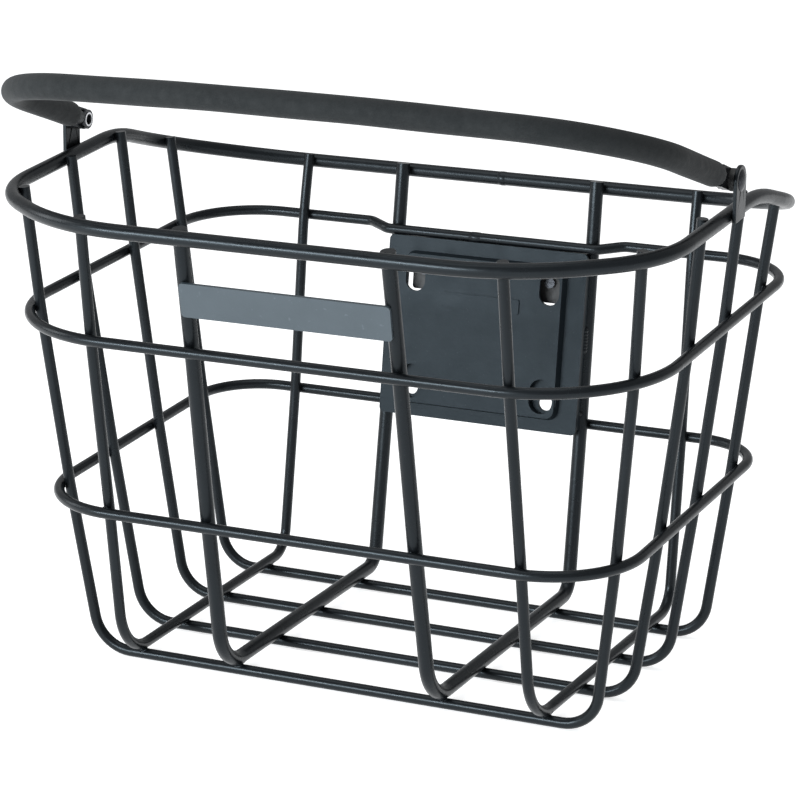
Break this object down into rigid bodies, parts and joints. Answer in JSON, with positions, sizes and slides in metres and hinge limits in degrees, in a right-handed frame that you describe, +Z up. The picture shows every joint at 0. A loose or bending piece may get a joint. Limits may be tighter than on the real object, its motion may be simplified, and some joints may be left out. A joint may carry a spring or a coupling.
{
  "type": "handlebar basket",
  "caption": "Black bicycle front basket of bent and welded steel wire with a rear mounting plate and a foam-covered carrying bail that pivots on the rim.",
  "frame": {"origin": "on the surface the basket stands on, below the middle of the whole part's box", "axes": "+X to the basket's right seen from the front, +Y towards the bicycle, +Z up"},
  "size_m": [0.3966, 0.3154, 0.3409],
  "materials": {
    "powder_coat": "satin",
    "name_panel": "satin",
    "foam": "matte",
    "moulding": "matte",
    "bright_steel": "polished",
    "dark_steel": "satin"
  },
  "bodies": {
    "basket": {"top_rim": "powder_coat", "middle_ring": "powder_coat", "lower_ring": "powder_coat", "cross_wire_1": "powder_coat", "cross_wire_2": "powder_coat", "cross_wire_3": "powder_coat", "cross_wire_4": "powder_coat", "long_wire_1": "powder_coat", "long_wire_2": "powder_coat", "long_wire_3": "powder_coat", "long_wire_4": "powder_coat", "mounting_plate": "powder_coat", "adapter_block": "moulding", "adapter_screws": "dark_steel", "name_plate": "name_panel", "handle_tab_left": "powder_coat", "pivot_screw_left": "dark_steel", "pivot_spacer_left": "moulding", "pivot_nut_left": "dark_steel", "pivot_collar_left": "bright_steel", "handle_tab_right": "powder_coat", "pivot_screw_right": "dark_steel", "pivot_spacer_right": "moulding", "pivot_nut_right": "dark_steel", "pivot_collar_right": "bright_steel"},
    "handle": {"handle_core": "dark_steel", "handle_grip": "foam"}
  },
  "joints": [
    {"name": "handle_hinge", "type": "hinge", "parent": "basket", "child": "handle", "pos_m": [0, -0.00838, 0.2882], "axis": [1, 0, 0], "range_deg": [-165, 23]}
  ]
}
